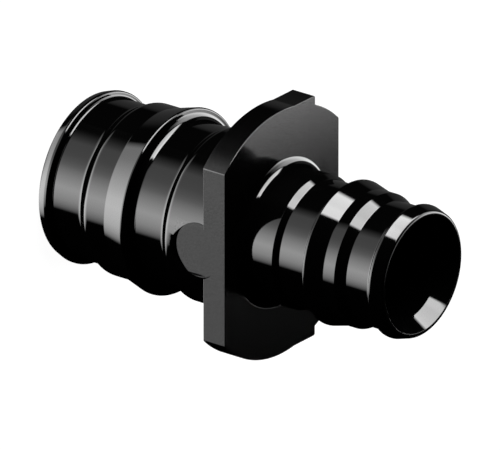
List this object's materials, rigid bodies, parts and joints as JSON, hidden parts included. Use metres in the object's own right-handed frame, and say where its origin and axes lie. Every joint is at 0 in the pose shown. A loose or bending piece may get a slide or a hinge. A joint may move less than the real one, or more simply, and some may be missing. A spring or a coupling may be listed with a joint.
{
  "type": "pex reducing coupling",
  "caption": "Black moulded reducing coupling: a larger and a smaller ribbed pipe insert back to back on one stop flange with two flats and square lugs, bored through.",
  "frame": {"origin": "centre of the open end of the large insert, which is the face it stands on", "axes": "+Z along the flow bore towards the small insert, -X through the flat with the round mark, +Y and -Y through the square lugs"},
  "size_m": [0.0264, 0.0358, 0.0567],
  "materials": {
    "black_plastic": "glossy black engineering plastic as moulded, with a fine matte texture on the flange"
  },
  "bodies": {
    "root": {"coupling_body": "black_plastic"}
  },
  "joints": []
}
